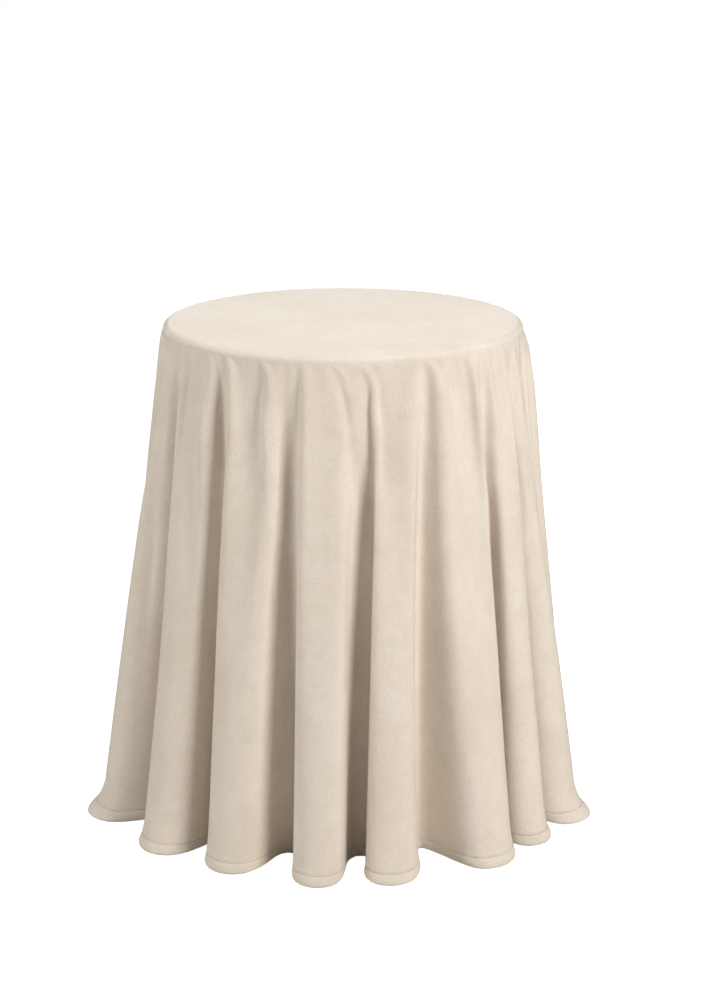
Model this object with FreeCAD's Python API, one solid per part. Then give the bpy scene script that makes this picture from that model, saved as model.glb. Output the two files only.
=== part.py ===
"""Round skirted side table: a floor-length round cloth draped over a three-legged kit table.

Frame: +Z up, millimetres, origin on the floor on the table's axis. The front is -Y.
Fold angles are counted from the front, positive towards +X.
"""

import FreeCAD
import Part
import math
import os

from FreeCAD import Vector

# ---------------------------------------------------------------- driving dimensions
# Table
TOP_DIAMETER = 500.0
TOP_THICKNESS = 18.0
TOP_EDGE_RADIUS = 8.0
TOP_EDGE_LIMIT = 0.45  # of the board's thickness, the most that its edge is rounded
TABLE_HEIGHT = 700.0
LEG_COUNT = 3
LEG_PITCH_RADIUS = 165.0
FIRST_LEG_ANGLE = 180.0  # from the front, so one leg stands at the back

# Leg plates and their screws
PLATE_SIDE = 60.0
PLATE_THICKNESS = 2.5
PLATE_CORNER_RADIUS = 6.0
COLLAR_RADIUS = 8.0
COLLAR_HEIGHT = 7.0
SCREW_INSET = 9.0
SCREW_HEAD_RADIUS = 3.6
SCREW_HEAD_DEPTH = 1.8
SCREW_SHANK_RADIUS = 1.75
SCREW_LENGTH = 15.0
RECESS_WIDTH = 0.9
RECESS_LENGTH = 3.8
RECESS_DEPTH = 1.3

# Hanger bolts: machine thread up into the plate, wood thread down into the leg
BOLT_RADIUS = 4.0
BOLT_CLEARANCE = 0.06
BOLT_ABOVE_COLLAR = 2.5
BOLT_WOOD_RADIUS = 3.4
BOLT_WOOD_LENGTH = 32.0
BOLT_CHAMFER = 0.8

# Legs
LEG_TOP_RADIUS = 19.0
LEG_NECK_RADIUS = 14.5
LEG_FOOT_RADIUS = 12.0
LEG_BLOCK_HEIGHT = 46.0
LEG_BEAD_HEIGHT = 12.0
LEG_EDGE = 1.5

# Nail-on foot glides
GLIDE_RADIUS = 11.0
GLIDE_HEIGHT = 5.0
GLIDE_EDGE_RADIUS = 2.0
NAIL_HEAD_RADIUS = 3.0
NAIL_HEAD_HEIGHT = 1.0
NAIL_HEAD_SINK = 1.4
NAIL_SHANK_RADIUS = 1.2
NAIL_LENGTH = 18.0

# Clearances
RELIEF_CLEARANCE = 1.0  # round the collar and above the bolt, inside the board
RIM_CLEARANCE = 0.4  # cloth to the board's edge
LIFT_CLEARANCE = 0.8  # cloth to the board's edge as the cloth is lifted off

# Cloth
CLOTH_THICKNESS = 1.5
HEM_HEIGHT = 18.0
HEM_LAYERS = 2  # a double-turned hem adds two layers inside
THREAD_WIDTH = 0.8
THREAD_STAND = 0.3
STITCH_TO_HEM_TOP = 2.5
RIM_BAND = 3.0  # straight drop below the rounded rim before the folds begin
FOLD_FLARE = 95.0  # how far an average fold stands out past the rim at the floor

# Each fold: its angle from the front, its flare as a share of FOLD_FLARE, and its
# width as a share of the room that its neighbours leave it.
FOLDS = [
    (-71.0, 1.38, 0.92),
    (-46.5, 1.20, 1.00),
    (-27.0, 1.06, 1.04),
    (-6.0, 1.00, 0.84),
    (14.0, 1.04, 0.90),
    (35.5, 1.14, 1.20),
    (52.0, 1.08, 0.78),
    (70.5, 1.32, 0.98),
    (91.0, 1.06, 0.96),
    (110.5, 1.10, 1.00),
    (130.0, 1.02, 0.92),
    (150.5, 1.08, 1.00),
    (169.5, 1.00, 0.94),
    (-170.5, 1.06, 0.98),
    (-151.0, 1.02, 0.92),
    (-130.5, 1.09, 1.00),
    (-111.0, 1.03, 0.94),
    (-91.0, 1.06, 0.96),
]
FOLD_WIDTH_SHARE = 0.375  # of the pitch between folds, a fold's half width
VALLEY_SHARE = 0.44  # of the gap left between two folds, a valley's half width

# ---------------------------------------------------------------- derived dimensions
TOP_RADIUS = TOP_DIAMETER / 2
BOARD_UNDERSIDE = TABLE_HEIGHT - TOP_THICKNESS
PLATE_UNDERSIDE = BOARD_UNDERSIDE - PLATE_THICKNESS
HEM_THICKNESS = HEM_LAYERS * CLOTH_THICKNESS
RIM_RADIUS = TOP_RADIUS + RIM_CLEARANCE
BOARD_EDGE = min(TOP_EDGE_RADIUS, TOP_EDGE_LIMIT * TOP_THICKNESS)
RIM_INNER_FILLET = BOARD_EDGE + RIM_CLEARANCE
RIM_LEVEL = TABLE_HEIGHT - RIM_INNER_FILLET - RIM_BAND
VALLEY_RADIUS = TOP_RADIUS + LIFT_CLEARANCE + HEM_THICKNESS + THREAD_STAND
STITCH_LEVEL = HEM_HEIGHT - STITCH_TO_HEM_TOP
SCREW_OFFSET = PLATE_SIDE / 2 - SCREW_INSET
BOLT_TOP = BOARD_UNDERSIDE + COLLAR_HEIGHT + BOLT_ABOVE_COLLAR


def around(radius, angle, z=0.0):
    """The point at that radius and angle from the front."""
    a = math.radians(angle)
    return Vector(radius * math.sin(a), -radius * math.cos(a), z)


def leg_angles():
    return [FIRST_LEG_ANGLE + 360.0 * i / LEG_COUNT for i in range(LEG_COUNT)]


def turned(profile):
    """A solid of revolution about Z from (radius, height) points."""
    points = [Vector(r, 0, z) for r, z in profile]
    outline = Part.makePolygon(points + points[:1])
    return Part.Face(outline).revolve(Vector(0, 0, 0), Vector(0, 0, 1), 360)


def edges_at(solid, z, radius, tolerance=1e-3):
    """The circular edges of that radius at that height."""
    return [
        e
        for e in solid.Edges
        if isinstance(e.Curve, Part.Circle)
        and abs(e.Curve.Radius - radius) < tolerance
        and abs(e.Curve.Center.z - z) < tolerance
    ]


# ---------------------------------------------------------------- cloth outline
class Circle:
    """A fold's or a valley's round stretch in plan; turn is 1 for a fold, -1 for a valley."""

    def __init__(self, centre, radius, turn):
        self.centre, self.radius, self.turn = centre, radius, turn

    def grown(self, offset):
        return Circle(self.centre, self.radius + self.turn * offset, self.turn)


def fold_circles():
    """Folds and valleys in turn, counted round from the valley before the first fold."""
    count = len(FOLDS)
    angles = [f[0] % 360.0 for f in FOLDS]
    start = angles[0]
    angles = [start + (a - start) % 360.0 for a in angles]
    folds = []
    for i, (_, flare, width) in enumerate(FOLDS):
        after = angles[i + 1] if i + 1 < count else angles[0] + 360.0
        before = angles[i - 1] if i else angles[-1] - 360.0
        crest = RIM_RADIUS + flare * FOLD_FLARE
        pitch = math.radians((after - before) / 2) * (crest + VALLEY_RADIUS) / 2
        half = FOLD_WIDTH_SHARE * width * pitch
        folds.append((angles[i], crest - half, half))
    circles = []
    for i in range(count):
        a0, r0, w0 = folds[i - 1]
        a1, r1, w1 = folds[i]
        if i == 0:
            a0 -= 360.0
        room = (around(r1, a1) - around(r0, a0)).Length - w0 - w1
        half = VALLEY_SHARE * room
        middle = a0 + (a1 - a0) * (w0 + room / 2) / (w0 + w1 + room)
        circles.append((middle, Circle(around(VALLEY_RADIUS + half, middle), half, -1)))
        circles.append((a1, Circle(around(r1, a1), w1, 1)))
    return circles


def tangent(a, b):
    """Where the flank between a fold and a valley leaves circle a and meets circle b."""
    gap = b.centre - a.centre
    lean = math.acos((a.radius + b.radius) / gap.Length)
    heading = math.atan2(gap.y, gap.x) - a.turn * lean
    out = Vector(math.cos(heading), math.sin(heading), 0)
    return a.centre + out * a.radius, b.centre - out * b.radius


def arc(circle, start, end):
    """The arc of a circle from start to end, by way of the point on the fold's own side."""
    s, e = start - circle.centre, end - circle.centre
    a0 = math.atan2(s.y, s.x)
    sweep = (math.atan2(e.y, e.x) - a0) * circle.turn % (2 * math.pi)
    a = a0 + circle.turn * sweep / 2
    through = circle.centre + Vector(math.cos(a), math.sin(a), 0) * circle.radius
    return Part.Arc(start, through, end).toShape()


def hem_edges(offset):
    """The cloth's outline at the floor, grown outwards by offset, as five edges for each
    fold: half a valley, a flank, the fold, a flank and half the next valley."""
    circles = [(angle, c.grown(offset)) for angle, c in fold_circles()]
    count = len(circles)
    joins = [tangent(circles[i][1], circles[(i + 1) % count][1]) for i in range(count)]
    edges = []
    for i in range(1, count, 2):
        valley_angle, valley = circles[i - 1]
        next_angle, following = circles[(i + 1) % count]
        fold = circles[i][1]
        low = around(valley.centre.Length - valley.radius, valley_angle)
        high = around(following.centre.Length - following.radius, next_angle)
        up, down = joins[i - 1], joins[i]
        edges.append(arc(valley, low, up[0]))
        edges.append(Part.makeLine(up[0], up[1]))
        edges.append(arc(fold, up[1], down[0]))
        edges.append(Part.makeLine(down[0], down[1]))
        edges.append(arc(following, down[1], high))
    return edges


def rim_edges(offset):
    """The circle under the rim, split so that each arc feeds one edge of the hem."""
    circles, hem = fold_circles(), hem_edges(0.0)
    angles = [a for a, c in circles if c.turn < 0]
    angles.append(angles[0] + 360.0)
    edges = []
    for i in range(len(FOLDS)):
        lengths = [e.Length for e in hem[5 * i : 5 * i + 5]]
        share = (angles[i + 1] - angles[i]) / sum(lengths)
        a = angles[i]
        for length in lengths:
            b = a + share * length
            points = [
                around(RIM_RADIUS + offset, t, RIM_LEVEL) for t in (a, (a + b) / 2, b)
            ]
            edges.append(Part.Arc(*points).toShape())
            a = b
    return edges


def skirt(offset):
    """The folded bell from the rim to the floor, solid, grown outwards by offset."""
    rim, hem = Part.Wire(rim_edges(offset)), Part.Wire(hem_edges(offset))
    return Part.makeLoft([rim, hem], True, True)


def cap(offset):
    """The round block that fills the cloth above the folds, with its rounded rim."""
    radius, top = RIM_RADIUS + offset, TABLE_HEIGHT + offset
    block = Part.makeCylinder(radius, top - RIM_LEVEL, Vector(0, 0, RIM_LEVEL))
    return block.makeFillet(RIM_INNER_FILLET + offset, edges_at(block, top, radius))


def bell(offset):
    return cap(offset).fuse(skirt(offset))


def band(outer, inner, low, high):
    """The layer between two offsets of the skirt, from height low to height high."""
    reach = 2 * (RIM_RADIUS + 2 * FOLD_FLARE)
    slab = Part.makeBox(
        reach, reach, high - low, Vector(-reach / 2, -reach / 2, low)
    )
    return skirt(outer).cut(skirt(inner)).common(slab)


# ---------------------------------------------------------------- cloth
def tablecloth():
    """One round cut of velvet, with no seam, hollow underneath."""
    return bell(CLOTH_THICKNESS).cut(bell(0.0))


def hem():
    """The edge of the cloth, turned up twice inside."""
    return band(0.0, -HEM_THICKNESS, 0.0, HEM_HEIGHT)


def hem_thread():
    """The line of stitching: the needle thread outside and the bobbin thread inside."""
    low = STITCH_LEVEL - THREAD_WIDTH / 2
    high = STITCH_LEVEL + THREAD_WIDTH / 2
    needle = band(CLOTH_THICKNESS + THREAD_STAND, CLOTH_THICKNESS, low, high)
    bobbin = band(-HEM_THICKNESS, -HEM_THICKNESS - THREAD_STAND, low, high)
    return Part.makeCompound(needle.Solids + bobbin.Solids)


# ---------------------------------------------------------------- table
def screw_places():
    """The four screws of one plate, from the plate's centre."""
    return [
        Vector(x * SCREW_OFFSET, y * SCREW_OFFSET, 0) for x in (-1, 1) for y in (-1, 1)
    ]


def placed(shape, angle):
    """A shape modelled on the Z axis, moved to the leg at that angle and turned with it."""
    moved = shape.copy()
    moved.rotate(Vector(0, 0, 0), Vector(0, 0, 1), angle)
    moved.translate(around(LEG_PITCH_RADIUS, angle))
    return moved


def table_top():
    """The round board, with a relief over each collar and pilot holes for the screws."""
    board = Part.makeCylinder(TOP_RADIUS, TOP_THICKNESS, Vector(0, 0, BOARD_UNDERSIDE))
    rims = edges_at(board, TABLE_HEIGHT, TOP_RADIUS)
    rims += edges_at(board, BOARD_UNDERSIDE, TOP_RADIUS)
    board = board.makeFillet(BOARD_EDGE, rims)
    relief = Part.makeCylinder(
        COLLAR_RADIUS + RELIEF_CLEARANCE,
        BOLT_TOP + RELIEF_CLEARANCE - BOARD_UNDERSIDE,
        Vector(0, 0, BOARD_UNDERSIDE),
    )
    pilot = Part.makeCylinder(
        SCREW_SHANK_RADIUS,
        SCREW_LENGTH - PLATE_THICKNESS,
        Vector(0, 0, BOARD_UNDERSIDE),
    )
    holes = [relief] + [pilot.translated(p) for p in screw_places()]
    return board.cut([placed(hole, a) for a in leg_angles() for hole in holes])


def leg_plate():
    """A pressed square plate with a threaded collar and four countersunk holes."""
    half = PLATE_SIDE / 2
    plate = Part.makeBox(
        PLATE_SIDE, PLATE_SIDE, PLATE_THICKNESS, Vector(-half, -half, PLATE_UNDERSIDE)
    )
    uprights = [e for e in plate.Edges if abs(e.tangentAt(e.FirstParameter).z) > 0.99]
    plate = plate.makeFillet(PLATE_CORNER_RADIUS, uprights)
    collar = Part.makeCylinder(
        COLLAR_RADIUS,
        PLATE_THICKNESS + COLLAR_HEIGHT,
        Vector(0, 0, PLATE_UNDERSIDE),
    )
    plate = plate.fuse(collar).removeSplitter()
    thread = Part.makeCylinder(
        BOLT_RADIUS + BOLT_CLEARANCE,
        PLATE_THICKNESS + COLLAR_HEIGHT,
        Vector(0, 0, PLATE_UNDERSIDE),
    )
    screw = screw_body()
    return plate.cut([thread] + [screw.translated(p) for p in screw_places()])


def screw_body():
    """A countersunk wood screw under the plate, point up, without its recess."""
    z = PLATE_UNDERSIDE
    tip = z + SCREW_LENGTH
    taper = 2 * SCREW_SHANK_RADIUS
    return turned(
        [
            (0, z),
            (SCREW_HEAD_RADIUS, z),
            (SCREW_SHANK_RADIUS, z + SCREW_HEAD_DEPTH),
            (SCREW_SHANK_RADIUS, tip - taper),
            (0, tip),
        ]
    )


def plate_screws():
    """All the plate screws, each with its cross recess."""
    screw = screw_body()
    for x, y in ((RECESS_LENGTH, RECESS_WIDTH), (RECESS_WIDTH, RECESS_LENGTH)):
        slot = Part.makeBox(
            x, y, RECESS_DEPTH, Vector(-x / 2, -y / 2, PLATE_UNDERSIDE)
        )
        screw = screw.cut(slot)
    return Part.makeCompound(
        [placed(screw.translated(p), a) for a in leg_angles() for p in screw_places()]
    )


def hanger_bolt():
    """A headless bolt: machine thread in the plate's collar, wood thread in the leg."""
    low = PLATE_UNDERSIDE - BOLT_WOOD_LENGTH
    return turned(
        [
            (0, low),
            (BOLT_CHAMFER, low),
            (BOLT_WOOD_RADIUS, low + 2 * BOLT_CHAMFER),
            (BOLT_WOOD_RADIUS, PLATE_UNDERSIDE),
            (BOLT_RADIUS, PLATE_UNDERSIDE),
            (BOLT_RADIUS, BOLT_TOP - BOLT_CHAMFER),
            (BOLT_RADIUS - BOLT_CHAMFER, BOLT_TOP),
            (0, BOLT_TOP),
        ]
    )


def leg():
    """A turned leg: a plain block, a bead, a neck and a long taper to the foot."""
    top, foot = PLATE_UNDERSIDE, GLIDE_HEIGHT
    shoulder = top - LEG_BLOCK_HEIGHT
    neck = shoulder - LEG_BEAD_HEIGHT
    bead = Part.Arc(
        Vector(LEG_TOP_RADIUS - LEG_EDGE, 0, shoulder),
        Vector(LEG_TOP_RADIUS, 0, (shoulder + neck) / 2),
        Vector(LEG_NECK_RADIUS, 0, neck),
    ).toShape()
    left = Part.makePolygon(
        [
            Vector(LEG_NECK_RADIUS, 0, neck),
            Vector(LEG_FOOT_RADIUS, 0, foot + LEG_EDGE),
            Vector(LEG_FOOT_RADIUS - LEG_EDGE, 0, foot),
            Vector(0, 0, foot),
            Vector(0, 0, top),
            Vector(LEG_TOP_RADIUS - LEG_EDGE, 0, top),
            Vector(LEG_TOP_RADIUS, 0, top - LEG_EDGE),
            Vector(LEG_TOP_RADIUS, 0, shoulder + LEG_EDGE),
            Vector(LEG_TOP_RADIUS - LEG_EDGE, 0, shoulder),
        ]
    )
    outline = Part.Wire([bead] + left.Edges)
    body = Part.Face(outline).revolve(Vector(0, 0, 0), Vector(0, 0, 1), 360)
    return body.cut([hanger_bolt(), glide_nail()])


def foot_glide():
    """A round nylon glide with a sunk hole for its nail."""
    disc = Part.makeCylinder(GLIDE_RADIUS, GLIDE_HEIGHT)
    disc = disc.makeFillet(GLIDE_EDGE_RADIUS, edges_at(disc, 0.0, GLIDE_RADIUS))
    mouth = Part.makeCylinder(NAIL_HEAD_RADIUS, NAIL_HEAD_SINK)
    return disc.cut([mouth, glide_nail()])


def glide_nail():
    """The nail that holds a glide, its head sunk above the floor."""
    low = NAIL_HEAD_SINK
    shank = low + NAIL_HEAD_HEIGHT
    tip = low + NAIL_LENGTH
    return turned(
        [
            (0, low),
            (NAIL_HEAD_RADIUS, low),
            (NAIL_HEAD_RADIUS, shank),
            (NAIL_SHANK_RADIUS, shank),
            (NAIL_SHANK_RADIUS, tip - 2 * NAIL_SHANK_RADIUS),
            (0, tip),
        ]
    )


def parts():
    """Every sub-part's name and shape."""
    made = {
        "tablecloth": tablecloth(),
        "hem": hem(),
        "hem_thread": hem_thread(),
        "table_top": table_top(),
        "plate_screws": plate_screws(),
    }
    repeated = {
        "leg_plate": leg_plate(),
        "hanger_bolt": hanger_bolt(),
        "leg": leg(),
        "foot_glide": foot_glide(),
        "glide_nail": glide_nail(),
    }
    for number, angle in enumerate(leg_angles(), start=1):
        for name, shape in repeated.items():
            made[f"{name}_{number}"] = placed(shape, angle)
    return made


def main():
    os.makedirs("parts", exist_ok=True)
    for name, shape in parts().items():
        solids = shape.Solids
        if not solids or not all(s.isValid() and s.isClosed() for s in solids):
            raise ValueError(f"{name} is not made of closed, valid solids")
        shape.exportStep(f"parts/{name}.step")
        volume = sum(s.Volume for s in solids)
        print(f"{name}: {len(solids)} solid(s), {volume:.1f} mm3")
    cut = math.pi * (TABLE_HEIGHT + RIM_RADIUS) ** 2 / 1e6
    edge = sum(e.Length for e in hem_edges(0.0)) / 1000
    print(f"flat cut about {cut:.2f} m2; hem {edge:.2f} m, flat {2 * math.sqrt(math.pi * cut):.2f} m")


main()
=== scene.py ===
"""Looks for a round skirted side table: a velvet cloth over a three-legged kit table.

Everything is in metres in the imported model's frame: +Z up, origin on the floor on the
table's axis, -Y to the front. Angles round the table are counted from the front,
positive towards +X.
"""

import math

import bmesh
import bpy
import numpy as np
from bpy.props import FloatProperty, FloatVectorProperty, IntProperty, PointerProperty
from mathutils import Matrix, Vector


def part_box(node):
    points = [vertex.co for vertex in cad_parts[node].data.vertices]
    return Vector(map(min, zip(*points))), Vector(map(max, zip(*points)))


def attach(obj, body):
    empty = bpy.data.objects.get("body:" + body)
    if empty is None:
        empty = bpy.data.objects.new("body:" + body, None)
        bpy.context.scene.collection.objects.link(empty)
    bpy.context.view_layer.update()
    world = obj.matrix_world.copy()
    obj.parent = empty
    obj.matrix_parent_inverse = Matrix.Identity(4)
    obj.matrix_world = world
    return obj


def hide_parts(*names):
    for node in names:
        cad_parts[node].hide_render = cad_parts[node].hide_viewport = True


bl_info = {
    "name": "Skirted side table",
    "version": (1, 0, 0),
    "blender": (4, 5, 0),
    "location": "3D View > Sidebar > Skirted table",
    "description": "Drapes a round velvet cloth over its table and finishes every piece",
    "category": "Object",
}

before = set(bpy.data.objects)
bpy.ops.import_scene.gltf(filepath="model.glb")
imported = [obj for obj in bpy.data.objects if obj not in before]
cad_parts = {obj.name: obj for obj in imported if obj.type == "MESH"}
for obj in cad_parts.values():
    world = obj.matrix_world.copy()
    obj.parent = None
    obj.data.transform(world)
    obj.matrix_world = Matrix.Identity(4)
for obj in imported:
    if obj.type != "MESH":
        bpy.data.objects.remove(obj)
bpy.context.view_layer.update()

BOARD_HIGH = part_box("table_top")[1]
CLOTH_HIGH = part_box("tablecloth")[1]
HEM_LOW, HEM_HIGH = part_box("hem")
THREAD_LOW, THREAD_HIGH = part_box("hem_thread")

BOARD_RADIUS = BOARD_HIGH.x
CLOTH_THICKNESS = CLOTH_HIGH.z - BOARD_HIGH.z
HEM_HEIGHT = HEM_HIGH.z - HEM_LOW.z
STITCH_HEIGHT = (THREAD_LOW.z + THREAD_HIGH.z) / 2
EDGE_RADIUS = 0.008
EDGE_GAP = 0.0004

# The cloth's middle surface where it lies on the board and bends over its edge
BEND = EDGE_RADIUS + EDGE_GAP + CLOTH_THICKNESS / 2
RIM = BOARD_RADIUS + EDGE_GAP + CLOTH_THICKNESS / 2
TOP = BOARD_HIGH.z + CLOTH_THICKNESS / 2
FLAT = RIM - BEND
RIM_CUT = FLAT + BEND * math.pi / 2
GROUND = 0.001

# How the forms that the cloth is hung against hold it off: their skin and its own gap
FORM_SKIN = 0.001
CLOTH_GAP = 0.0015

# The two side folds kick out at the floor: their angle either side and how wide that is
FLARE_ANGLE = 71
FLARE_WIDTH = 14

# The folds: angle, how far each stands out past the rim at the floor and half its width,
# then the same of the valley after it
FOLDS = [
    (-71.6, 0.137, 0.045, -60.0, 0.006, 0.012),
    (-49.2, 0.115, 0.041, -38.5, 0.008, 0.010),
    (-29.0, 0.098, 0.039, -16.8, 0.004, 0.016),
    (-6.6, 0.097, 0.034, 4.6, 0.004, 0.019),
    (14.3, 0.099, 0.036, 24.0, 0.004, 0.010),
    (37.4, 0.109, 0.042, 46.8, 0.006, 0.010),
    (53.4, 0.105, 0.034, 61.5, 0.005, 0.010),
    (69.9, 0.128, 0.041, 80.5, 0.004, 0.013),
    (91.0, 0.090, 0.035, 101.0, 0.004, 0.012),
    (110.5, 0.105, 0.038, 120.5, 0.004, 0.013),
    (130.0, 0.098, 0.035, 140.5, 0.004, 0.012),
    (150.5, 0.103, 0.038, 160.0, 0.004, 0.011),
    (169.5, 0.096, 0.035, 179.5, 0.004, 0.014),
    (189.5, 0.101, 0.037, 199.5, 0.004, 0.012),
    (209.0, 0.098, 0.035, 219.0, 0.004, 0.013),
    (229.5, 0.104, 0.038, 239.5, 0.004, 0.011),
    (249.0, 0.099, 0.036, 259.0, 0.004, 0.013),
    (269.0, 0.092, 0.035, 278.5, 0.004, 0.012),
]

# Small gathers under the rim that run out in the drop: angle at the rim and where they
# run out, height (below 0 for a crease), half width in degrees and length down the drop
GATHERS = [
    (-62.0, -60.0, -0.005, 3.0, 0.40),
    (-47.0, -35.0, 0.006, 2.6, 0.46),
    (-39.5, -38.5, -0.005, 2.2, 0.40),
    (-21.5, -19.0, 0.006, 2.6, 0.42),
    (-13.5, -15.0, -0.005, 2.4, 0.35),
    (1.5, 8.0, 0.006, 2.4, 0.34),
    (10.0, 13.0, -0.003, 2.2, 0.30),
    (28.0, 35.0, 0.006, 2.8, 0.32),
    (35.5, 40.0, -0.006, 2.6, 0.28),
    (43.0, 44.0, 0.005, 2.6, 0.34),
    (58.0, 60.5, -0.005, 2.6, 0.40),
    (86.0, 84.0, 0.005, 3.0, 0.36),
    (124.0, 121.0, 0.006, 2.8, 0.40),
    (157.0, 160.0, 0.006, 2.8, 0.36),
    (183.0, 180.0, 0.005, 2.8, 0.42),
    (222.0, 219.0, 0.006, 2.8, 0.34),
    (255.0, 259.0, 0.006, 2.8, 0.40),
    (283.0, 280.0, 0.005, 2.8, 0.36),
]


# ------------------------------------------------------------------ sizes and colours
class ClothSizes(bpy.types.PropertyGroup):
    cut_radius: FloatProperty(
        name="Cut radius",
        description="Radius of the round cut before it is draped",
        default=0.9505,
        unit="LENGTH",
    )
    slack: FloatProperty(
        name="Slack",
        description="Share by which the cloth is larger than its gathered shape",
        default=0.01,
    )
    around: IntProperty(
        name="Columns",
        description="Divisions round the finished cloth",
        default=440,
    )
    hang_around: IntProperty(
        name="Hanging columns",
        description="Divisions round the cloth while it is hung",
        default=324,
    )
    hang_rings: IntProperty(
        name="Hanging rings",
        description="Divisions down the drop while it is hung",
        default=34,
    )
    hang_frames: IntProperty(
        name="Hanging time",
        description="Frames that the cloth is given to come to rest",
        default=24,
    )
    hem_puff: FloatProperty(
        name="Hem puff",
        description="How far the doubled hem stands proud of the cloth",
        default=0.0009,
        unit="LENGTH",
    )
    stitch_pitch: FloatProperty(
        name="Stitch pitch",
        description="From one stitch to the next along the hem",
        default=0.0032,
        unit="LENGTH",
    )


class FinishColours(bpy.types.PropertyGroup):
    velvet: FloatVectorProperty(
        name="Velvet",
        description="Pile colour",
        default=(0.86, 0.77, 0.675),
        subtype="COLOR",
    )
    velvet_shade: FloatVectorProperty(
        name="Velvet, brushed",
        description="Pile colour where the nap lies the other way",
        default=(0.79, 0.70, 0.60),
        subtype="COLOR",
    )
    thread: FloatVectorProperty(
        name="Thread",
        description="Sewing thread colour",
        default=(0.42, 0.34, 0.26),
        subtype="COLOR",
    )
    board: FloatVectorProperty(
        name="Board",
        description="Fibreboard colour",
        default=(0.46, 0.32, 0.19),
        subtype="COLOR",
    )
    leg_wood: FloatVectorProperty(
        name="Leg wood",
        description="Colour of the legs' early wood",
        default=(0.62, 0.42, 0.22),
        subtype="COLOR",
    )
    floor: FloatVectorProperty(
        name="Floor",
        description="Studio floor colour",
        default=(0.70, 0.70, 0.70),
        subtype="COLOR",
    )


# ------------------------------------------------------------------ the cloth's shape
def sheet_levels(sizes):
    """Distances from the cloth's centre, along the cloth, of the rings it hangs by."""
    top = [0.06, 0.12, 0.17, 0.205, 0.228, FLAT]
    bend = list(np.linspace(FLAT, RIM_CUT, 5)[1:])
    step = (sizes.cut_radius - RIM_CUT) / sizes.hang_rings
    drop, gap = [], 0.0045
    level = RIM_CUT
    while level + 1.5 * step < sizes.cut_radius:
        level += gap
        drop.append(level)
        gap = min(step, gap * 1.35)
    left = np.linspace(level, sizes.cut_radius, 3)[1:]
    return np.array(top + bend + drop + list(left))


def over_edge(cut):
    """Radius and height of the cloth over the board and its edge, then straight down."""
    turn = np.clip((cut - FLAT) / BEND, 0, math.pi / 2)
    below = np.maximum(cut - RIM_CUT, 0)
    radius = np.minimum(cut, FLAT) + BEND * np.sin(turn)
    return radius, TOP - BEND * (1 - np.cos(turn)) - below


def polar(radius, angle, z):
    return np.stack([radius * np.sin(angle), -radius * np.cos(angle), z], axis=1)


def cut_polar(flat):
    """Distance from the centre and angle from the front of points on the flat cut."""
    return np.hypot(flat[:, 0], flat[:, 1]), np.arctan2(flat[:, 0], -flat[:, 1])


def around(radius, degrees):
    """The point in plan at that distance from the axis and angle from the front."""
    angle = math.radians(degrees)
    return radius * np.array([math.sin(angle), -math.cos(angle)])


def hem_line():
    """The hem's smooth line in plan as the cloth is gathered, one lap as X and Y, with
    how far round the cut each point lies, in radians from the front."""
    marks = []
    for crest, stand, half, valley, low, hollow in FOLDS:
        out, centre = around(1, crest), around(RIM + stand - half, crest)
        side = np.array([-out[1], out[0]])
        for lean in (-1.6, -0.8, 0.0, 0.8, 1.6):
            marks.append(centre + half * (out * math.cos(lean) + side * math.sin(lean)))
        out, centre = around(1, valley), around(RIM + low + hollow, valley)
        side = np.array([-out[1], out[0]])
        for lean in (-1.4, 0.0, 1.4):
            marks.append(centre - hollow * (out * math.cos(lean) - side * math.sin(lean)))
    marks = np.array(marks)
    count = len(marks)
    place = np.arange(0, count, 0.05)
    index = np.floor(place).astype(int)
    weights = blend_weights(place - index)
    line = sum(weights[i][:, None] * marks[(index + i - 1) % count] for i in range(4))
    ahead = np.linalg.norm(np.roll(line, -1, axis=0) - line, axis=1)
    run = np.concatenate([[0.0], np.cumsum(ahead)])
    lap, turn = run[-1], 2 * math.pi
    valleys = run[:-1][np.isclose(place % 8, 6)]
    angles = np.radians([fold[3] for fold in FOLDS])
    valleys = np.concatenate([[valleys[-1] - lap], valleys, [valleys[0] + lap]])
    angles = np.concatenate([[angles[-1] - turn], angles, [angles[0] + turn]])
    return line, np.interp(run[:-1], valleys, angles)


def gathers(share, angle):
    """How far the small gathers stand out under the rim, as a share of its radius."""
    total = np.zeros(len(share))
    for start, end, height, half, length in GATHERS:
        along = np.clip(share / length, 0, 1)
        off = np.degrees(angle) - start - (end - start) * along
        off = (off + 180) % 360 - 180
        rise = np.sin(math.pi * along**0.6) * np.exp(-((off / half) ** 2))
        total += height / RIM * rise
    return total


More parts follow.
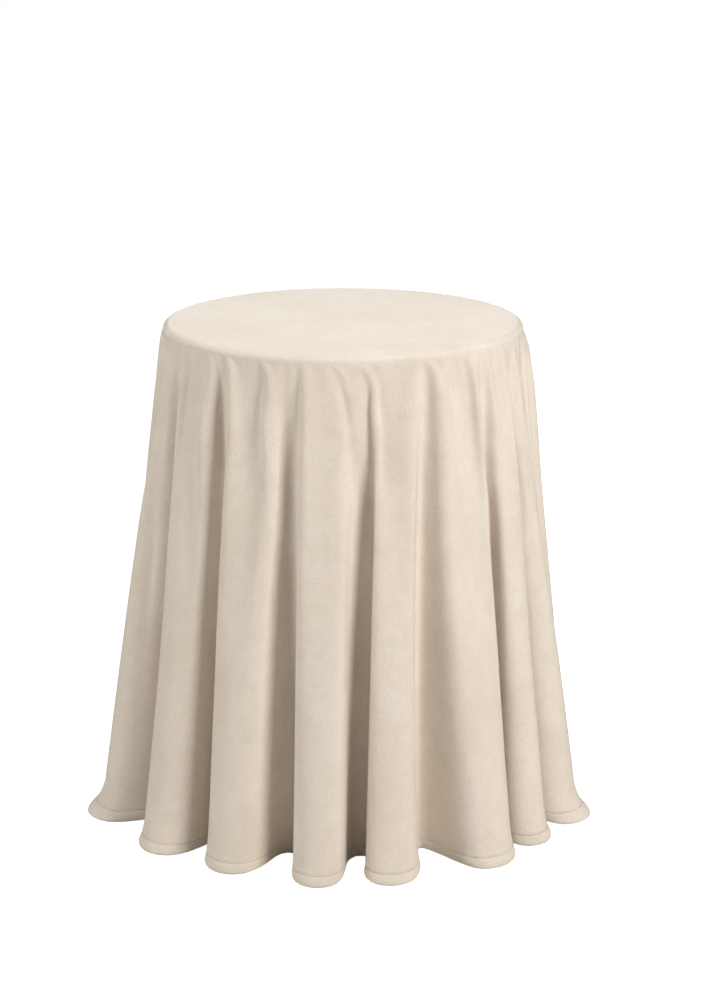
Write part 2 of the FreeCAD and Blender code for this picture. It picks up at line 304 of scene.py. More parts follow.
def gathered(sizes, flat):
    """The cloth drawn in its folds, with a level hem: the shape that the hang starts from
    and keeps to."""
    cut, angle = cut_polar(flat)
    line, round_it = hem_line()
    turned = round_it[0] + (angle - round_it[0]) % (2 * math.pi)
    round_it = np.append(round_it, round_it[0] + 2 * math.pi)
    hem = [np.interp(turned, round_it, np.append(line[:, i], line[0, i])) for i in (0, 1)]
    hem = np.stack(hem, axis=1)
    top = polar(np.full(len(cut), RIM), angle, np.full(len(cut), TOP - BEND))
    length = sizes.cut_radius - RIM_CUT
    share = np.clip((cut - RIM_CUT) / length, 0, 1)[:, None]
    off = (np.abs(np.degrees(angle)) - FLARE_ANGLE) / FLARE_WIDTH
    side = np.exp(-(off**2))[:, None]
    kick = 0.05 + 0.10 * side
    slack = hem - top[:, :2]
    flank = np.clip(np.linalg.norm(slack, axis=1) / 0.1, 0, 1)[:, None]
    swell = share ** (1 - 0.35 * np.sin(math.pi * flank) - 0.06 * flank)
    out = swell * (1 - kick) + kick * np.clip((share - 0.94) / 0.06, 0, 1) ** 2
    rise = GROUND + sizes.slack * (TOP - BEND)
    sink = share[:, 0] * (top[:, 2] - rise)
    plan = top[:, :2] + out * slack + gathers(share[:, 0], angle)[:, None] * top[:, :2]
    points = np.column_stack([plan, top[:, 2] - sink])
    radius, z = over_edge(cut)
    return np.where(share > 0, points, polar(radius, angle, z))


def spun(name, profile, steps, close=False):
    """A mesh spun about Z from points (radius, height)."""
    shape = bmesh.new()
    points = [shape.verts.new((r, 0, z)) for r, z in profile]
    pairs = list(zip(points, points[1:]))
    if close:
        pairs.append((points[-1], points[0]))
    for a, b in pairs:
        shape.edges.new((a, b))
    bmesh.ops.spin(
        shape,
        geom=shape.verts[:] + shape.edges[:],
        axis=(0, 0, 1),
        cent=(0, 0, 0),
        steps=steps,
        angle=2 * math.pi,
        use_merge=True,
        use_duplicate=False,
    )
    bmesh.ops.remove_doubles(shape, verts=shape.verts[:], dist=1e-7)
    bmesh.ops.recalc_face_normals(shape, faces=shape.faces[:])
    mesh = bpy.data.meshes.new(name)
    shape.to_mesh(mesh)
    shape.free()
    return mesh


def placed(name, mesh):
    piece = bpy.data.objects.new(name, mesh)
    bpy.context.scene.collection.objects.link(piece)
    return piece


def corners(mesh):
    co = np.zeros(len(mesh.vertices) * 3, np.float32)
    mesh.vertices.foreach_get("co", co)
    return co.reshape(-1, 3).astype(float)


def move_corners(mesh, points):
    mesh.vertices.foreach_set("co", points.astype(np.float32).ravel())
    mesh.update()


def face_up(mesh):
    """Turns a flat sheet's faces upwards."""
    if sum(p.normal.z for p in mesh.polygons) < 0:
        mesh.flip_normals()


def former(name, mesh, friction):
    """A form that the cloth is hung against, taken away afterwards."""
    piece = placed(name, mesh)
    piece.modifiers.new("Form", "COLLISION")
    piece.collision.thickness_outer = FORM_SKIN
    piece.collision.cloth_friction = friction
    return piece


def hang(sizes, levels):
    """Lets the drawn cloth, a little slack, settle round the board and on the floor, and
    returns its points as rings by columns."""
    columns = sizes.hang_around
    mesh = spun("hanging", [(0, 0)] + [(r, 0) for r in levels], columns)
    face_up(mesh)
    flat = corners(mesh)
    cut, angle = cut_polar(flat)
    ring = np.clip(np.searchsorted(levels, cut - 1e-5), 0, len(levels) - 1)
    column = np.round(angle / (2 * math.pi / columns)).astype(int) % columns
    on_ring = cut > levels[0] / 2
    start = gathered(sizes, flat)

    move_corners(mesh, start)
    sheet = placed("hanging", mesh)

    reach = FORM_SKIN + CLOTH_GAP
    rim, high = RIM - reach, TOP - reach
    bend = [math.pi / 2 * i / 5 for i in range(6)]
    outline = [(0, high)]
    outline += [
        (rim - BEND + BEND * math.sin(a), high - BEND + BEND * math.cos(a)) for a in bend
    ]
    outline += [(rim + 0.0032, 0.45), (rim + 0.0036, -0.02), (0, -0.02)]
    forms = [former("board form", spun("board form", outline, 96), 10)]
    ground = spun("ground form", [(0, GROUND - reach), (1.4, GROUND - reach)], 24)
    face_up(ground)
    forms.append(former("ground form", ground, 25))

    held = sheet.vertex_groups.new(name="held")
    fixed = [int(i) for i in np.where(cut < RIM_CUT + 1e-4)[0]]
    held.add(fixed, 1.0, "REPLACE")
    cloth = sheet.modifiers.new("Cloth", "CLOTH")
    fabric = cloth.settings
    fabric.quality = 6
    fabric.mass = 0.15
    fabric.tension_stiffness = 20
    fabric.compression_stiffness = 20
    fabric.shear_stiffness = 5
    fabric.bending_stiffness = 5.0
    fabric.air_damping = 4
    fabric.vertex_group_mass = held.name
    fabric.shrink_min = -sizes.slack
    touch = cloth.collision_settings
    touch.distance_min = CLOTH_GAP
    touch.collision_quality = 3
    touch.use_self_collision = True
    touch.self_distance_min = 0.003
    touch.self_friction = 5

    scene = bpy.context.scene
    frames = sizes.hang_frames
    cloth.point_cache.frame_start = 1
    cloth.point_cache.frame_end = frames
    for moment in range(1, frames + 1):
        scene.frame_set(moment)
    graph = bpy.context.evaluated_depsgraph_get()
    settled = corners(sheet.evaluated_get(graph).data)
    scene.frame_set(1)
    for piece in [sheet, *forms]:
        bpy.data.objects.remove(piece)
    return by_rings(settled, levels, columns, ring, column, on_ring)


def by_rings(points, levels, columns, ring, column, on_ring):
    grid = np.zeros((len(levels), columns, 3))
    grid[ring[on_ring], column[on_ring]] = points[on_ring]
    return grid


def blend_weights(t):
    """Weights of four neighbours in a row for a smooth curve through the middle two."""
    return np.stack(
        [
            -0.5 * t + t**2 - 0.5 * t**3,
            1 - 2.5 * t**2 + 1.5 * t**3,
            0.5 * t + 2 * t**2 - 1.5 * t**3,
            -0.5 * t**2 + 0.5 * t**3,
        ]
    )


class Drape:
    """The hung cloth's middle surface, for laying flat pieces on it."""

    def __init__(self, sizes):
        self.sizes = sizes
        self.levels = sheet_levels(sizes)
        grid = hang(sizes, self.levels)
        centre = np.tile([[0.0, 0.0, TOP]], (grid.shape[1], 1))
        self.grid = np.concatenate([[centre], grid, [2 * grid[-1] - grid[-2]]])
        self.marks = np.concatenate([[0.0], self.levels])
        self.length = float(
            np.linalg.norm(grid[-1] - np.roll(grid[-1], 1, axis=0), axis=1).sum()
        )

    def surface(self, cut, angle):
        """Points on the middle surface."""
        rings, columns = len(self.marks), self.grid.shape[1]
        u = np.interp(cut, self.marks, np.arange(rings))
        v = angle / (2 * math.pi) * columns
        row = np.clip(np.floor(u), 0, rings - 2).astype(int)
        col = np.floor(v).astype(int)
        down, across = blend_weights(u - row), blend_weights(v - col)
        out = np.zeros((len(cut), 3))
        for i in range(4):
            r = np.clip(row + i - 1, 0, rings)
            for j in range(4):
                weight = down[i] * across[j]
                out += weight[:, None] * self.grid[r, (col + j - 1) % columns]
        return out

    def lay(self, flat):
        """Lays points of a flat piece, whose Z is its height above the middle surface,
        on the hung cloth."""
        cut, angle = cut_polar(flat)
        edge = self.sizes.cut_radius
        step, swing = 0.0015, 0.0015
        across = swing / np.maximum(cut, 0.05)
        inner, outer = np.maximum(cut - step, 1e-4), np.minimum(cut + step, edge)
        along = self.surface(outer, angle) - self.surface(inner, angle)
        round_it = self.surface(cut, angle + across) - self.surface(cut, angle - across)
        normal = np.cross(along, round_it)
        normal /= np.maximum(np.linalg.norm(normal, axis=1), 1e-12)[:, None]
        normal[cut < FLAT] = (0, 0, 1)
        placed = self.surface(cut, angle) + normal * flat[:, 2:3]
        placed[:, 2] += 0.0012 * np.clip(1 - placed[:, 2] / 0.02, 0, 1) ** 2
        return placed


def map_cut(mesh, flat):
    """Keeps each point's place on the flat cut as a UV map, in metres."""
    layer = mesh.uv_layers.new(name="cut")
    index = np.zeros(len(mesh.loops), np.int32)
    mesh.loops.foreach_get("vertex_index", index)
    layer.data.foreach_set("uv", flat[index, :2].astype(np.float32).ravel())


def smooth(mesh):
    mesh.polygons.foreach_set("use_smooth", [True] * len(mesh.polygons))


def material_of(name, build):
    """One material for each finish, kept apart from the plain ones the frame brings in."""
    name += " finish"
    return bpy.data.materials.get(name) or build(name)


# ------------------------------------------------------------------ shader building
class Nodes:
    """A short way to place and join nodes in a material or a group."""

    def __init__(self, tree):
        self.tree = tree

    def add(self, kind, values=None, **settings):
        node = self.tree.nodes.new(kind)
        for name, value in settings.items():
            setattr(node, name, value)
        for name, value in (values or {}).items():
            if isinstance(value, bpy.types.NodeSocket):
                self.tree.links.new(value, node.inputs[name])
            else:
                node.inputs[name].default_value = value
        return node

    def math(self, operation, a, b=0.0, c=0.0, clamp=False):
        values = {0: a, 1: b, 2: c}
        node = self.add("ShaderNodeMath", values, operation=operation, use_clamp=clamp)
        return node.outputs[0]

    def noise(self, vector, scale, detail=2.0, roughness=0.5, distortion=0.0):
        values = {
            "Vector": vector,
            "Scale": scale,
            "Detail": detail,
            "Roughness": roughness,
            "Distortion": distortion,
        }
        return self.add("ShaderNodeTexNoise", values).outputs["Fac"]

    def band(self, value, low, high, start=0.0, end=1.0):
        values = {0: value, 1: low, 2: high, 3: start, 4: end}
        node = self.add("ShaderNodeMapRange", values, interpolation_type="SMOOTHSTEP")
        return node.outputs[0]

    def mix(self, factor, a, b):
        node = self.add("ShaderNodeMix", data_type="RGBA")
        for index, value in ((0, factor), (6, a), (7, b)):
            if isinstance(value, bpy.types.NodeSocket):
                self.tree.links.new(value, node.inputs[index])
            elif index:
                node.inputs[index].default_value = (*value[:3], 1.0)
            else:
                node.inputs[index].default_value = value
        return node.outputs[2]

    def bump(self, height, strength, distance):
        values = {"Height": height, "Strength": strength, "Distance": distance}
        return self.add("ShaderNodeBump", values).outputs["Normal"]


def shader_group(name, inputs, outputs, fill):
    """A node group with named inputs (name, kind, default) and outputs (name, kind)."""
    found = bpy.data.node_groups.get(name)
    if found:
        return found
    tree = bpy.data.node_groups.new(name, "ShaderNodeTree")
    for label, kind, default in inputs:
        socket = tree.interface.new_socket(label, in_out="INPUT", socket_type=kind)
        if default is not None:
            socket.default_value = default
    for label, kind in outputs:
        tree.interface.new_socket(label, in_out="OUTPUT", socket_type=kind)
    nodes = Nodes(tree)
    fill(nodes, nodes.add("NodeGroupInput").outputs, nodes.add("NodeGroupOutput").inputs)
    return tree


def fine_grain():
    """Fine speckle in two sizes, for pile, fibreboard, zinc and nylon: a mask and a height.
    """

    def fill(nodes, given, out):
        coarse = nodes.noise(given["Vector"], given["Scale"], 3.0, 0.6)
        fine_scale = nodes.math("MULTIPLY", given["Scale"], 4.3)
        fine = nodes.noise(given["Vector"], fine_scale, 2.0, 0.65)
        both = nodes.math("MULTIPLY_ADD", fine, 0.5, nodes.math("MULTIPLY", coarse, 0.5))
        nodes.tree.links.new(nodes.band(both, 0.36, 0.64), out["Speckle"])
        nodes.tree.links.new(both, out["Height"])

    inputs = [("Vector", "NodeSocketVector", None), ("Scale", "NodeSocketFloat", 900.0)]
    outputs = [("Speckle", "NodeSocketFloat"), ("Height", "NodeSocketFloat")]
    return shader_group("fine grain", inputs, outputs, fill)


def brushed_nap():
    """Soft cloudy patches where a pile has been stroked one way or the other."""

    def fill(nodes, given, out):
        broad = nodes.noise(given["Vector"], given["Patch scale"], 4.0, 0.55, 0.6)
        small_scale = nodes.math("MULTIPLY", given["Patch scale"], 5.0)
        small = nodes.noise(given["Vector"], small_scale, 4.0, 0.6, 0.3)
        mixed = nodes.math("MULTIPLY_ADD", small, 0.4, nodes.math("MULTIPLY", broad, 0.6))
        nodes.tree.links.new(nodes.band(mixed, 0.38, 0.62), out["Stroked"])
        nodes.tree.links.new(mixed, out["Height"])

    inputs = [("Vector", "NodeSocketVector", None), ("Patch scale", "NodeSocketFloat", 9.0)]
    outputs = [("Stroked", "NodeSocketFloat"), ("Height", "NodeSocketFloat")]
    return shader_group("brushed nap", inputs, outputs, fill)


def new_material(name):
    material = bpy.data.materials.new(name)
    material.use_nodes = True
    nodes = Nodes(material.node_tree)
    surface = material.node_tree.nodes["Principled BSDF"]
    return material, nodes, surface


def grouped(nodes, group, values):
    node = nodes.add("ShaderNodeGroup", node_tree=group)
    for name, value in values.items():
        if isinstance(value, bpy.types.NodeSocket):
            nodes.tree.links.new(value, node.inputs[name])
        else:
            node.inputs[name].default_value = value
    return node.outputs


def velvet(name):
    """Short cotton velvet: cloudy nap, fine pile and a soft sheen."""
    colours = bpy.context.scene.finish_colours
    material, nodes, surface = new_material(name)
    cut = nodes.add("ShaderNodeUVMap", uv_map="cut").outputs["UV"]
    nap = grouped(nodes, brushed_nap(), {"Vector": cut, "Patch scale": 8.0})
    pile = grouped(nodes, fine_grain(), {"Vector": cut, "Scale": 330.0})
    tone = nodes.mix(nap["Stroked"], colours.velvet_shade, colours.velvet)
    darker = tuple(0.80 * c for c in colours.velvet_shade)
    speck = nodes.math("MULTIPLY", pile["Speckle"], 0.55)
    tone = nodes.mix(nodes.math("SUBTRACT", 0.55, speck), tone, darker)
    nodes.tree.links.new(tone, surface.inputs["Base Color"])
    height = nodes.math("MULTIPLY", pile["Height"], 0.0009)
    soft = nodes.math("MULTIPLY", nap["Height"], 0.0020)
    total = nodes.math("ADD", height, soft)
    normal = nodes.bump(total, 0.7, 1.0)
    nodes.tree.links.new(normal, surface.inputs["Normal"])
    rough = nodes.band(nap["Stroked"], 0.0, 1.0, 0.95, 0.85)
    nodes.tree.links.new(rough, surface.inputs["Roughness"])
    surface.inputs["Specular IOR Level"].default_value = 0.15
    surface.inputs["Sheen Weight"].default_value = 0.70
    surface.inputs["Sheen Roughness"].default_value = 0.30
    surface.inputs["Sheen Tint"].default_value = (1.0, 0.96, 0.91, 1.0)
    return material


def thread(name):
    """Twisted polyester thread."""
    colours = bpy.context.scene.finish_colours
    material, nodes, surface = new_material(name)
    place = nodes.add("ShaderNodeTexCoord").outputs["Object"]
    twist = nodes.noise(place, 1800.0, 2.0, 0.5)
    darker = tuple(0.72 * c for c in colours.thread)
    tone = nodes.mix(nodes.band(twist, 0.35, 0.65), darker, colours.thread)
    nodes.tree.links.new(tone, surface.inputs["Base Color"])
    nodes.tree.links.new(nodes.bump(twist, 0.5, 0.0003), surface.inputs["Normal"])
    rough = nodes.band(twist, 0.3, 0.7, 0.75, 0.6)
    nodes.tree.links.new(rough, surface.inputs["Roughness"])
    surface.inputs["Sheen Weight"].default_value = 0.15
    return material


def fibreboard(name):
    """Raw fibreboard: pressed fibres, with a fine speckle and lighter clouds."""
    colours = bpy.context.scene.finish_colours
    material, nodes, surface = new_material(name)
    place = nodes.add("ShaderNodeTexCoord").outputs["Object"]
    fibre = grouped(nodes, fine_grain(), {"Vector": place, "Scale": 260.0})
    cloudy = nodes.noise(place, 14.0, 4.0, 0.6)
    darker = tuple(0.74 * c for c in colours.board)
    tone = nodes.mix(fibre["Speckle"], darker, colours.board)
    lighter = tuple(min(1.0, 1.18 * c) for c in colours.board)
    tone = nodes.mix(nodes.band(cloudy, 0.35, 0.7, 0.0, 0.6), tone, lighter)
    nodes.tree.links.new(tone, surface.inputs["Base Color"])
    normal = nodes.bump(fibre["Height"], 0.35, 0.0004)
    nodes.tree.links.new(normal, surface.inputs["Normal"])
    rough = nodes.band(fibre["Speckle"], 0.0, 1.0, 0.85, 0.7)
    nodes.tree.links.new(rough, surface.inputs["Roughness"])
    return material


def leg_wood(name):
    """Lacquered softwood with its grain along the leg."""
    colours = bpy.context.scene.finish_colours
    material, nodes, surface = new_material(name)
    place = nodes.add("ShaderNodeTexCoord").outputs["Object"]
    stretch = nodes.add("ShaderNodeMapping", {"Vector": place, "Scale": (1.0, 1.0, 0.035)})
    along = stretch.outputs["Vector"]
    bent = nodes.noise(along, 22.0, 3.0, 0.5, 0.4)
    rings = nodes.math("FRACT", nodes.math("MULTIPLY", bent, 9.0))
    rings = nodes.band(rings, 0.15, 0.95)
    pores = nodes.noise(along, 900.0, 2.0, 0.6)
    late = tuple(c * k for c, k in zip(colours.leg_wood, (0.70, 0.60, 0.50)))
    tone = nodes.mix(nodes.math("MULTIPLY", rings, 0.75), colours.leg_wood, late)
    tone = nodes.mix(nodes.band(pores, 0.55, 0.75, 0.0, 0.35), tone, late)
    nodes.tree.links.new(tone, surface.inputs["Base Color"])
    height = nodes.math("MULTIPLY_ADD", pores, 0.6, nodes.math("MULTIPLY", rings, -0.4))
    nodes.tree.links.new(nodes.bump(height, 0.2, 0.0003), surface.inputs["Normal"])
    rough = nodes.band(pores, 0.3, 0.7, 0.30, 0.42)
    nodes.tree.links.new(rough, surface.inputs["Roughness"])
    surface.inputs["Coat Weight"].default_value = 0.35
    surface.inputs["Coat Roughness"].default_value = 0.18
    return material


def zinc(name):
    """Bright zinc plate with faint passivation colours and scuffs."""
    material, nodes, surface = new_material(name)
    place = nodes.add("ShaderNodeTexCoord").outputs["Object"]
    film = nodes.noise(place, 60.0, 3.0, 0.5, 0.5)
    grain = grouped(nodes, fine_grain(), {"Vector": place, "Scale": 1500.0})
    tone = nodes.mix(nodes.band(film, 0.35, 0.65), (0.62, 0.64, 0.67), (0.72, 0.70, 0.64))
    nodes.tree.links.new(tone, surface.inputs["Base Color"])
    surface.inputs["Metallic"].default_value = 1.0
    rough = nodes.band(grain["Speckle"], 0.0, 1.0, 0.26, 0.42)
    nodes.tree.links.new(rough, surface.inputs["Roughness"])
    normal = nodes.bump(grain["Height"], 0.15, 0.0001)
    nodes.tree.links.new(normal, surface.inputs["Normal"])
    return material


def nylon(name):
    """Moulded natural nylon, faintly clouded and scuffed."""
    material, nodes, surface = new_material(name)
    place = nodes.add("ShaderNodeTexCoord").outputs["Object"]
    cloudy = nodes.noise(place, 90.0, 3.0, 0.5)
    scuffs = grouped(nodes, fine_grain(), {"Vector": place, "Scale": 1100.0})
    tone = nodes.mix(nodes.band(cloudy, 0.3, 0.7), (0.74, 0.72, 0.66), (0.82, 0.81, 0.77))
    nodes.tree.links.new(tone, surface.inputs["Base Color"])
    rough = nodes.band(scuffs["Speckle"], 0.0, 1.0, 0.38, 0.55)
    nodes.tree.links.new(rough, surface.inputs["Roughness"])
    normal = nodes.bump(scuffs["Height"], 0.15, 0.0001)
    nodes.tree.links.new(normal, surface.inputs["Normal"])
    return material


def studio_floor(name):
    """Matt pale floor; a glow that only the camera sees makes it read as plain white."""
    colours = bpy.context.scene.finish_colours
    material, nodes, surface = new_material(name)
    place = nodes.add("ShaderNodeTexCoord").outputs["Object"]
    cloudy = nodes.noise(place, 1.2, 2.0, 0.5)
    darker = tuple(0.985 * c for c in colours.floor)
    tone = nodes.mix(cloudy, darker, colours.floor)
    nodes.tree.links.new(tone, surface.inputs["Base Color"])
    surface.inputs["Roughness"].default_value = 0.9
    surface.inputs["Specular IOR Level"].default_value = 0.1
    seen = nodes.add("ShaderNodeLightPath").outputs["Is Camera Ray"]
    surface.inputs["Emission Color"].default_value = (1.0, 1.0, 1.0, 1.0)
    glow = nodes.math("MULTIPLY", seen, 0.98)
    nodes.tree.links.new(glow, surface.inputs["Emission Strength"])
    return material


# ------------------------------------------------------------------ pieces
DRAPE = {}


def drape():
    """The hung cloth, hung once for every piece that lies on it."""
    if "cloth" not in DRAPE:
        DRAPE["cloth"] = Drape(bpy.context.scene.cloth_sizes)
    return DRAPE["cloth"]


def finished_levels(sizes):
    """Rings of the finished cloth, closest over the board's edge and at the hem."""
    edge = sizes.cut_radius
    top = [0.0, 0.07, 0.13, 0.18, 0.21, 0.23, FLAT - 0.004]
    bend = list(np.linspace(FLAT, RIM_CUT, 9))
    below = [RIM_CUT + d for d in (0.004, 0.009, 0.015)]
    hem_marks = [0.030, 0.024, 0.0205, 0.0185, 0.0172, 0.0162, 0.0150]
    hem_marks += [0.0138, 0.0120, 0.0085, 0.0050, 0.0025, 0.0008, 0.0]
    hem = [edge - d for d in hem_marks]
    count = round((hem[0] - below[-1]) / 0.0115)
    drop = list(np.linspace(below[-1], hem[0], count + 1)[1:-1])
    return top + bend + below + drop + hem


def hem_shape(sizes, from_edge):
    """How far the outer face stands proud at a distance from the cloth's edge."""
    puff = sizes.hem_puff
    marks = [0.0, 0.0012, 0.004, 0.010, 0.0142, 0.0160, 0.0178, 0.021, 0.030]
    proud = [-0.0012, 0.2 * puff, puff, puff, 0.55 * puff, -0.0006, 0.35 * puff, 0.0, 0.0]
    return np.interp(from_edge, marks, proud)


class SKIRTED_OT_tablecloth(bpy.types.Operator):
    """Hang the round cloth over the table and finish it in velvet"""

    bl_idname = "skirted.tablecloth"
    bl_label = "Tablecloth"

    def execute(self, context):
        sizes = context.scene.cloth_sizes
        levels = finished_levels(sizes)
        mesh = spun("tablecloth_velvet", [(r, 0) for r in levels], sizes.around)
        face_up(mesh)
        flat = corners(mesh)
        flat[:, 2] = hem_shape(sizes, sizes.cut_radius - cut_polar(flat)[0])
        map_cut(mesh, flat)
        move_corners(mesh, drape().lay(flat))
        smooth(mesh)
        cloth = placed("tablecloth_velvet", mesh)
        wall = cloth.modifiers.new("Thickness", "SOLIDIFY")
        wall.thickness = CLOTH_THICKNESS
        wall.offset = 0.0
        mesh.materials.append(material_of("velvet", velvet))
        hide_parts("tablecloth")
        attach(cloth, "cloth")
        return {"FINISHED"}


class SKIRTED_OT_hem(bpy.types.Operator):
    """Turn the cloth's edge up twice inside, as one soft band"""

    bl_idname = "skirted.hem"
    bl_label = "Hem"

    def execute(self, context):
        sizes = context.scene.cloth_sizes
        edge = sizes.cut_radius
        face = -CLOTH_THICKNESS / 2 - 0.0001
        back = face - 2 * CLOTH_THICKNESS
        outline = [
            (edge - 0.0010, face),
            (edge - 0.0045, face),
            (edge - 0.0110, face),
            (edge - HEM_HEIGHT + 0.001, face),
            (edge - HEM_HEIGHT, (face + back) / 2),
            (edge - HEM_HEIGHT + 0.001, back),
            (edge - 0.0110, back - 0.0003),
            (edge - 0.0045, back - 0.0003),
            (edge - 0.0010, back + 0.0006),
        ]
        mesh = spun("hem_velvet", outline, sizes.around, close=True)
        flat = corners(mesh)
        map_cut(mesh, flat)
        move_corners(mesh, drape().lay(flat))
        smooth(mesh)
        hem = placed("hem_velvet", mesh)
        mesh.materials.append(material_of("velvet", velvet))
        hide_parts("hem")
        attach(hem, "cloth")
        return {"FINISHED"}


class SKIRTED_OT_stitches(bpy.types.Operator):
    """Sew the hem with a line of stitches, seen on both faces"""

    bl_idname = "skirted.stitches"
    bl_label = "Hem stitches"

    def execute(self, context):
        sizes = context.scene.cloth_sizes
        radius = sizes.cut_radius - STITCH_HEIGHT
        count = round(2 * math.pi * radius / sizes.stitch_pitch)
        outside = CLOTH_THICKNESS / 2 - 0.0004
        inside = -CLOTH_THICKNESS / 2 - 2 * CLOTH_THICKNESS - 0.0001
        half = 0.40 * sizes.stitch_pitch
        shape = bmesh.new()
        for height, sides in ((outside, 6), (inside, 5)):
            place = Matrix.Translation((0, -radius, height))
            size = Matrix.Diagonal((half, 0.00038, 0.00030, 1.0))
            matrix = place @ size @ Matrix.Rotation(math.pi / 2, 4, "Y")
            bmesh.ops.create_uvsphere(
                shape, u_segments=sides, v_segments=4, radius=1.0, matrix=matrix
            )
        repeat_round(shape, count)
        mesh = bpy.data.meshes.new("hem_stitches")
        shape.to_mesh(mesh)
        shape.free()
        flat = corners(mesh)
        move_corners(mesh, drape().lay(flat))
        smooth(mesh)
        stitches = placed("hem_stitches", mesh)
        mesh.materials.append(material_of("sewing thread", thread))
        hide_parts("hem_thread")
        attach(stitches, "cloth")
        return {"FINISHED"}


def repeat_round(shape, count):
    """Fills a circle about Z with count copies of a shape, doubling the row each time."""
    made, row = 1, shape.verts[:] + shape.edges[:] + shape.faces[:]
    while made < count:
        more = min(made, count - made)
        verts = [v for v in row if isinstance(v, bmesh.types.BMVert)]
        edges = [e for e in row if isinstance(e, bmesh.types.BMEdge)]
        faces = [f for f in row if isinstance(f, bmesh.types.BMFace)]
        if more < made:
            one = len(verts) // made
            verts = verts[: more * one]
            kept = set(verts)
            edges = [e for e in edges if e.verts[0] in kept]
            faces = [f for f in faces if f.verts[0] in kept]
        copied = bmesh.ops.duplicate(shape, geom=verts + edges + faces)["geom"]
        bmesh.ops.rotate(
            shape,
            cent=(0, 0, 0),
            matrix=Matrix.Rotation(2 * math.pi * made / count, 3, "Z"),
            verts=[v for v in copied if isinstance(v, bmesh.types.BMVert)],
        )
        row = row + copied
        made += more


def finish_nodes(prefix, material):
    """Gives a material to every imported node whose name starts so."""
    names = [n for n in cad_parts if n.startswith(prefix)]
    if not names:
        raise RuntimeError(f"no node is named {prefix}")
    for name in names:
        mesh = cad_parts[name].data
        mesh.materials.clear()
        mesh.materials.append(material)


class SKIRTED_OT_table(bpy.types.Operator):
    """Finish the board, its leg plates and their screws"""

    bl_idname = "skirted.table"
    bl_label = "Board and plates"

    def execute(self, context):
        finish_nodes("table_top", material_of("fibreboard", fibreboard))
        finish_nodes("leg_plate_", material_of("zinc plate", zinc))
        finish_nodes("plate_screws", material_of("zinc plate", zinc))
        return {"FINISHED"}


class SKIRTED_OT_legs(bpy.types.Operator):
    """Finish the legs with their bolts, glides and nails"""

    bl_idname = "skirted.legs"
    bl_label = "Legs"

    def execute(self, context):
        for number in (1, 2, 3):
            finish_nodes(f"leg_{number}", material_of("lacquered leg wood", leg_wood))
        finish_nodes("hanger_bolt_", material_of("zinc plate", zinc))
        finish_nodes("glide_nail_", material_of("zinc plate", zinc))
        finish_nodes("foot_glide_", material_of("nylon", nylon))
        return {"FINISHED"}


def area_light(name, place, aim, size, power, colour):
    data = bpy.data.lights.new(name, "AREA")
    data.shape = "RECTANGLE"
    data.size = data.size_y = size
    data.energy = power
    data.color = colour
    light = bpy.data.objects.new(name, data)
    bpy.context.scene.collection.objects.link(light)
    light.location = place
    look = Vector(aim) - Vector(place)
    light.rotation_euler = look.to_track_quat("-Z", "Y").to_euler()


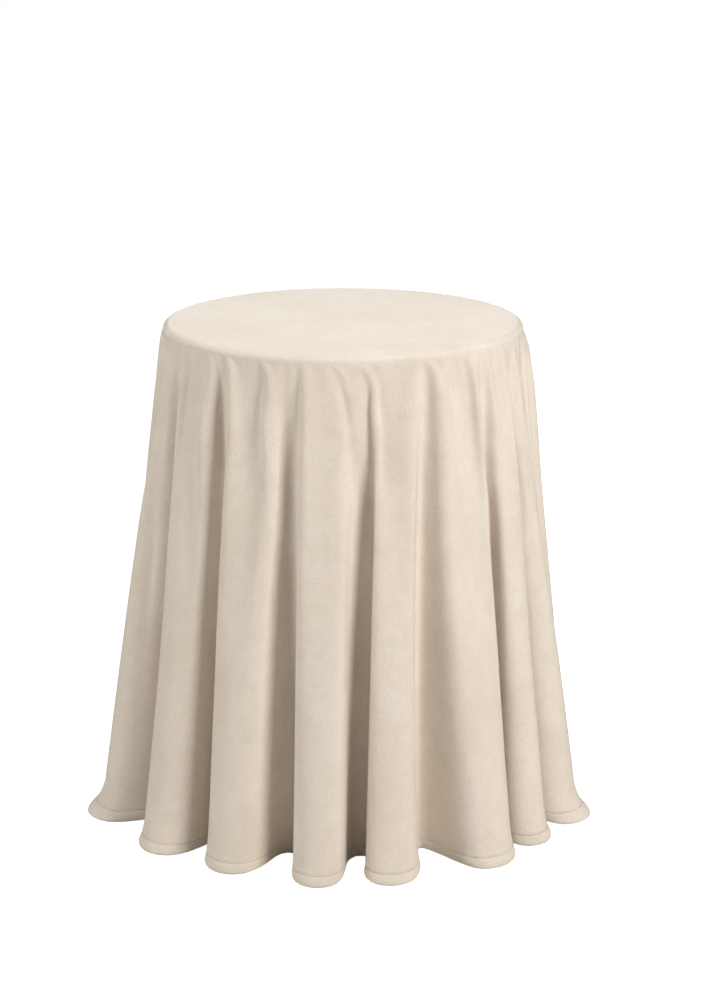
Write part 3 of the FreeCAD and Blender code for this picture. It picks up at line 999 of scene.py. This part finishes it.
class SKIRTED_OT_stage(bpy.types.Operator):
    """Set the floor, the soft studio light and the camera"""

    bl_idname = "skirted.stage"
    bl_label = "Stage"

    def execute(self, context):
        scene = context.scene
        shape = bmesh.new()
        bmesh.ops.create_grid(shape, x_segments=8, y_segments=8, size=12.0)
        mesh = bpy.data.meshes.new("studio_floor")
        shape.to_mesh(mesh)
        shape.free()
        floor = placed("studio_floor", mesh)
        mesh.materials.append(material_of("studio floor", studio_floor))

        world = bpy.data.worlds.new("studio")
        world.use_nodes = True
        sky = Nodes(world.node_tree)
        light = world.node_tree.nodes["Background"]
        light.inputs["Color"].default_value = (1.0, 1.0, 1.0, 1.0)
        seen = sky.add("ShaderNodeLightPath").outputs["Is Camera Ray"]
        strength = sky.math("MULTIPLY_ADD", seen, 0.93, 0.07)
        sky.tree.links.new(strength, light.inputs["Strength"])
        scene.world = world
        middle = (0, 0, 0.4)
        area_light("key", (1.9, -1.95, 1.7), middle, 1.1, 66, (1.0, 0.975, 0.935))
        area_light("fill", (-2.4, -1.0, 1.5), middle, 1.3, 37, (1.0, 0.97, 0.92))
        board = (0, 0, 0.7)
        area_light("overhead", (0.1, 0.2, 2.6), board, 1.2, 25, (0.93, 0.965, 1.0))

        height = CLOTH_HIGH.z
        camera = bpy.data.cameras.new("camera")
        camera.sensor_fit = "VERTICAL"
        camera.sensor_height = 36.0
        camera.lens = 67.9
        viewer = bpy.data.objects.new("camera", camera)
        scene.collection.objects.link(viewer)
        viewer.location = (0, -3.74 * height, 1.739 * height)
        tilt = math.radians(90.0 - 16.73)
        viewer.rotation_euler = (tilt, 0, -0.009)
        scene.camera = viewer
        scene.view_settings.view_transform = "Standard"
        return {"FINISHED"}


class SKIRTED_PT_panel(bpy.types.Panel):
    bl_idname = "SKIRTED_PT_panel"
    bl_label = "Skirted side table"
    bl_space_type = "VIEW_3D"
    bl_region_type = "UI"
    bl_category = "Skirted table"

    def draw(self, context):
        sizes, colours = context.scene.cloth_sizes, context.scene.finish_colours
        for group in (sizes, colours):
            box = self.layout.box()
            for name in group.bl_rna.properties.keys():
                if name not in ("rna_type", "name"):
                    box.prop(group, name)
        for operator in OPERATORS:
            self.layout.operator(operator.bl_idname)


OPERATORS = (
    SKIRTED_OT_tablecloth,
    SKIRTED_OT_hem,
    SKIRTED_OT_stitches,
    SKIRTED_OT_table,
    SKIRTED_OT_legs,
    SKIRTED_OT_stage,
)
CLASSES = (ClothSizes, FinishColours, *OPERATORS, SKIRTED_PT_panel)


def register():
    for item in CLASSES:
        bpy.utils.register_class(item)
    bpy.types.Scene.cloth_sizes = PointerProperty(type=ClothSizes)
    bpy.types.Scene.finish_colours = PointerProperty(type=FinishColours)


def unregister():
    del bpy.types.Scene.finish_colours
    del bpy.types.Scene.cloth_sizes
    for item in reversed(CLASSES):
        bpy.utils.unregister_class(item)


def main():
    register()
    bpy.ops.skirted.tablecloth()
    bpy.ops.skirted.hem()
    bpy.ops.skirted.stitches()
    bpy.ops.skirted.table()
    bpy.ops.skirted.legs()
    bpy.ops.skirted.stage()
    bpy.context.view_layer.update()
    print("hem length along the floor", round(drape().length, 3))


if __name__ == "__main__":
    main()
